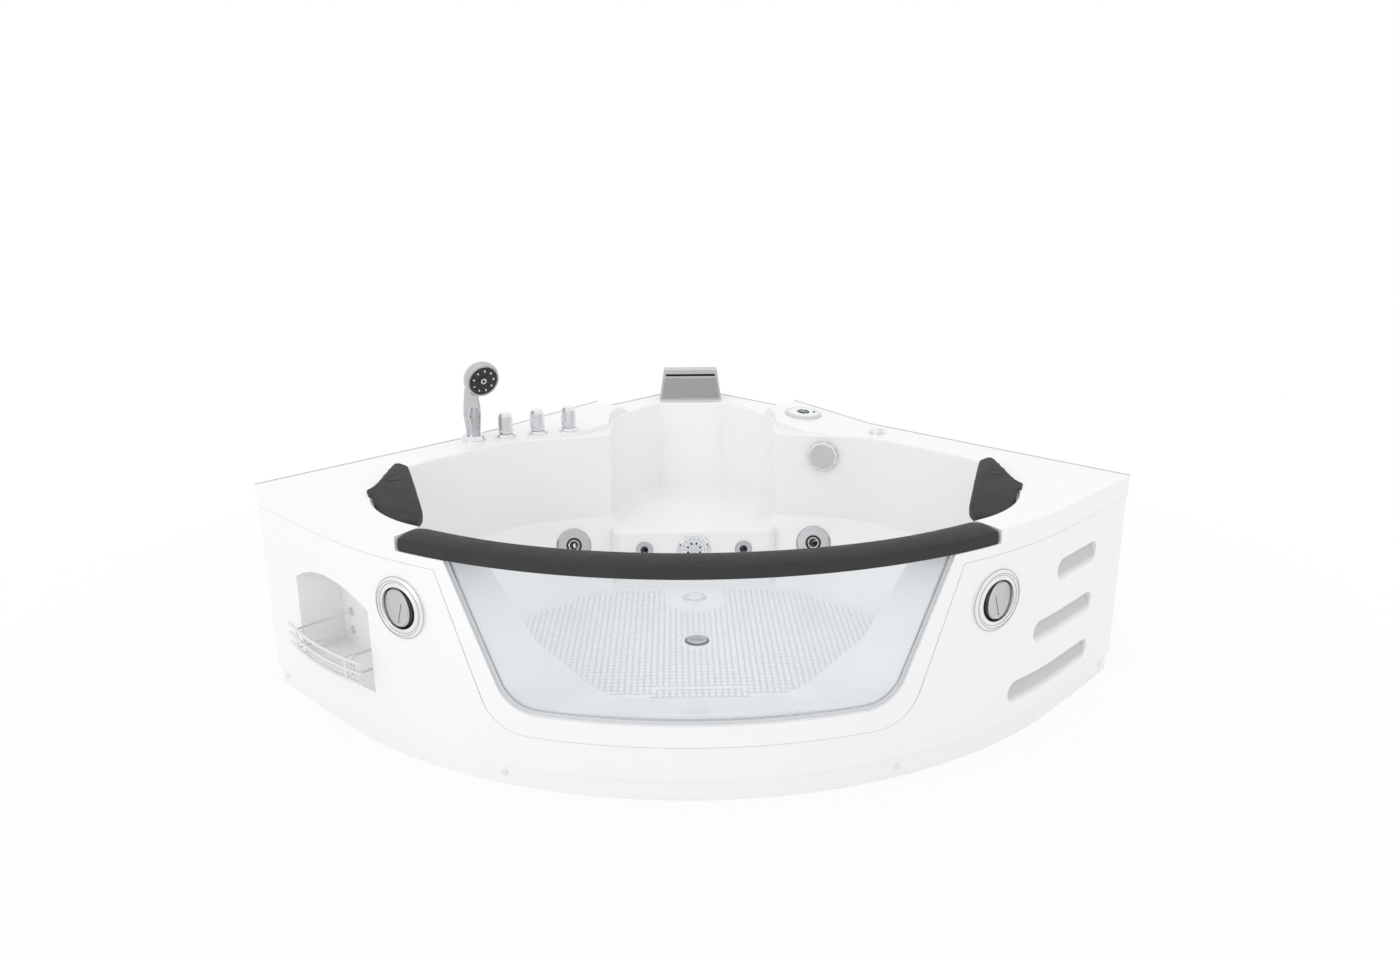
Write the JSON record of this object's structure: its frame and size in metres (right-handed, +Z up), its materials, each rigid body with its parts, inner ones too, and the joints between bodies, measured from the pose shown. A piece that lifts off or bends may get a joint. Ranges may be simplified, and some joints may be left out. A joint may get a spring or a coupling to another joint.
{
  "type": "corner bathtub",
  "caption": "Jetted corner bath with a curved front window, corner seat, soft rail and headrests, waterfall spout, hand shower, jets and apron lamps.",
  "frame": {"origin": "on the floor, at the middle of the part's plan box", "axes": "+Z up; the rear corner of the room is towards +Y and the window faces -Y; taps towards -X"},
  "size_m": [2.1214, 1.6292, 0.7479],
  "materials": {
    "acrylic": "smooth gloss sanitary acrylic",
    "niche_white": "smooth moulded liner",
    "window_glass": "clear curved safety glass with a pale blue cast",
    "seal_grey": "matt extruded seal",
    "soft_grey": "soft moulded foam with a fine matt skin",
    "satin_steel": "brushed",
    "chrome": "bright plated",
    "black_plastic": "fine matt",
    "panel_silver": "silver lacquer",
    "lens_clear": "clear lens",
    "brass": "plain",
    "pipe_white": "plain pressure pipe",
    "cable_black": "sheathed cable",
    "frame_steel": "zinc grey",
    "foot_black": "moulded pad",
    "motor_grey": "dark enamel"
  },
  "bodies": {
    "bath": {"basin_shell": "acrylic", "apron_panel": "acrylic", "niche_liner": "niche_white", "window_glass": "window_glass", "window_seal": "seal_grey", "rail_pad": "soft_grey", "pillow_left": "soft_grey", "pillow_right": "soft_grey", "glass_cap_rail": "satin_steel", "spout_face": "satin_steel", "spout_body": "chrome", "tap_rosettes": "chrome", "shower_holder": "chrome", "air_regulator_body": "chrome", "drain_body": "chrome", "floor_lamp": "chrome", "towel_rack": "chrome", "lamp_bezels": "chrome", "apron_screws": "chrome", "jet_bodies": "chrome", "suction_body": "chrome", "suction_cover": "chrome", "overflow_body": "chrome", "control_module": "black_plastic", "control_panel": "panel_silver", "floor_lamp_lens": "lens_clear", "supply_valves": "brass", "diverter_valve": "brass", "fill_pipes": "brass", "overflow_pipe": "pipe_white", "waste_trap": "pipe_white", "suction_pipe": "pipe_white", "pressure_manifold": "pipe_white", "air_manifold": "pipe_white", "pump_body": "pipe_white", "plug_cable": "cable_black", "steel_frame": "frame_steel", "foot_nuts": "frame_steel", "levelling_feet": "foot_black", "pump_motor": "motor_grey"},
    "hot_knob": {"tap_knob_hot": "chrome"},
    "cold_knob": {"tap_knob_cold": "chrome"},
    "diverter_knob": {"tap_knob_diverter": "chrome"},
    "handset": {"shower_handset": "chrome"},
    "spray_face": {"shower_face": "black_plastic"},
    "overflow_handle": {"overflow_knob": "satin_steel"},
    "plug": {"drain_plug": "chrome"},
    "air_knob": {"air_regulator_knob": "chrome"},
    "nozzle_left": {"jet_nozzle_left": "black_plastic"},
    "nozzle_right": {"jet_nozzle_right": "black_plastic"},
    "nozzle_seat_left": {"jet_nozzle_seat_left": "black_plastic"},
    "nozzle_seat_right": {"jet_nozzle_seat_right": "black_plastic"},
    "key_1": {"panel_key_1": "black_plastic"},
    "key_2": {"panel_key_2": "black_plastic"},
    "key_3": {"panel_key_3": "black_plastic"},
    "key_4": {"panel_key_4": "black_plastic"},
    "key_5": {"panel_key_5": "black_plastic"},
    "rotor": {"pump_rotor": "motor_grey"},
    "eye_left": {"lamp_eye_left": "satin_steel"},
    "eye_right": {"lamp_eye_right": "satin_steel"}
  },
  "joints": [
    {"name": "hot_turn", "type": "hinge", "parent": "bath", "child": "hot_knob", "pos_m": [-0.51951, 0.17127, 0.5292], "axis": [0, 0, 1], "range_deg": [0, 90]},
    {"name": "cold_turn", "type": "hinge", "parent": "bath", "child": "cold_knob", "pos_m": [-0.43426, 0.19096, 0.53254], "axis": [0, 0, 1], "range_deg": [0, 90]},
    {"name": "diverter_turn", "type": "hinge", "parent": "bath", "child": "diverter_knob", "pos_m": [-0.349, 0.21064, 0.53587], "axis": [0, 0, 1], "range_deg": [0, 90]},
    {"name": "handset_lift", "type": "slide", "parent": "bath", "child": "handset", "axis": [0, 0, 1], "range_m": [0, 0.12]},
    {"name": "spray_turn", "type": "hinge", "parent": "handset", "child": "spray_face", "pos_m": [-0.58477, 0.15159, 0.70686], "axis": [0.5375, -0.7969, -0.2756], "range_deg": [-60, 60]},
    {"name": "overflow_turn", "type": "hinge", "parent": "bath", "child": "overflow_handle", "pos_m": [0.364, 0.16623, 0.466], "axis": [-0.2248, -0.9739, 0.0326], "range_deg": [0, 70]},
    {"name": "plug_lift", "type": "slide", "parent": "bath", "child": "plug", "axis": [0, 0, 1], "range_m": [0, 0.01]},
    {"name": "air_turn", "type": "hinge", "parent": "bath", "child": "air_knob", "pos_m": [0.51689, 0.18741, 0.524], "axis": [0, 0, 1], "range_deg": [0, 180]},
    {"name": "jet_turn_left", "type": "hinge", "parent": "bath", "child": "nozzle_left", "pos_m": [-0.34, 0.13737, 0.216], "axis": [0.2088, -0.9046, 0.3716], "range_deg": [-60, 60]},
    {"name": "jet_turn_right", "type": "hinge", "parent": "bath", "child": "nozzle_right", "pos_m": [0.34, 0.13737, 0.216], "axis": [-0.2088, -0.9046, 0.3716], "range_deg": [-60, 60]},
    {"name": "jet_turn_seat_left", "type": "hinge", "parent": "bath", "child": "nozzle_seat_left", "pos_m": [-0.14, 0.12521, 0.205], "axis": [0, -0.9723, 0.2338], "range_deg": [-60, 60]},
    {"name": "jet_turn_seat_right", "type": "hinge", "parent": "bath", "child": "nozzle_seat_right", "pos_m": [0.14, 0.12521, 0.205], "axis": [0, -0.9723, 0.2338], "range_deg": [-60, 60]},
    {"name": "key_press_1", "type": "slide", "parent": "bath", "child": "key_1", "axis": [-0.0654, 0.0654, -0.9957], "range_m": [0, 0.0012], "stiffness_N_per_m": 500, "springref_m": -0.0003},
    {"name": "key_press_2", "type": "slide", "parent": "bath", "child": "key_2", "axis": [-0.0654, 0.0654, -0.9957], "range_m": [0, 0.0012], "stiffness_N_per_m": 500, "springref_m": -0.0003},
    {"name": "key_press_3", "type": "slide", "parent": "bath", "child": "key_3", "axis": [-0.0654, 0.0654, -0.9957], "range_m": [0, 0.0012], "stiffness_N_per_m": 500, "springref_m": -0.0003},
    {"name": "key_press_4", "type": "slide", "parent": "bath", "child": "key_4", "axis": [-0.0654, 0.0654, -0.9957], "range_m": [0, 0.0012], "stiffness_N_per_m": 500, "springref_m": -0.0003},
    {"name": "key_press_5", "type": "slide", "parent": "bath", "child": "key_5", "axis": [-0.0654, 0.0654, -0.9957], "range_m": [0, 0.0012], "stiffness_N_per_m": 500, "springref_m": -0.0003},
    {"name": "rotor_spin", "type": "hinge", "parent": "bath", "child": "rotor", "pos_m": [0.85913, -0.20008, 0.156], "axis": [-0.7071, 0.7071, 0], "continuous": true},
    {"name": "eye_swivel_left", "type": "hinge", "parent": "bath", "child": "eye_left", "pos_m": [-0.62692, -0.61448, 0.364], "axis": [0, 0, 1], "range_deg": [-6, 30]},
    {"name": "eye_swivel_right", "type": "hinge", "parent": "bath", "child": "eye_right", "pos_m": [0.62692, -0.61448, 0.364], "axis": [0, 0, 1], "range_deg": [-30, 6]}
  ],
  "couplings": [
    {"joint": "plug_lift", "follows": "overflow_turn", "m_per_rad": 0.00818}
  ]
}
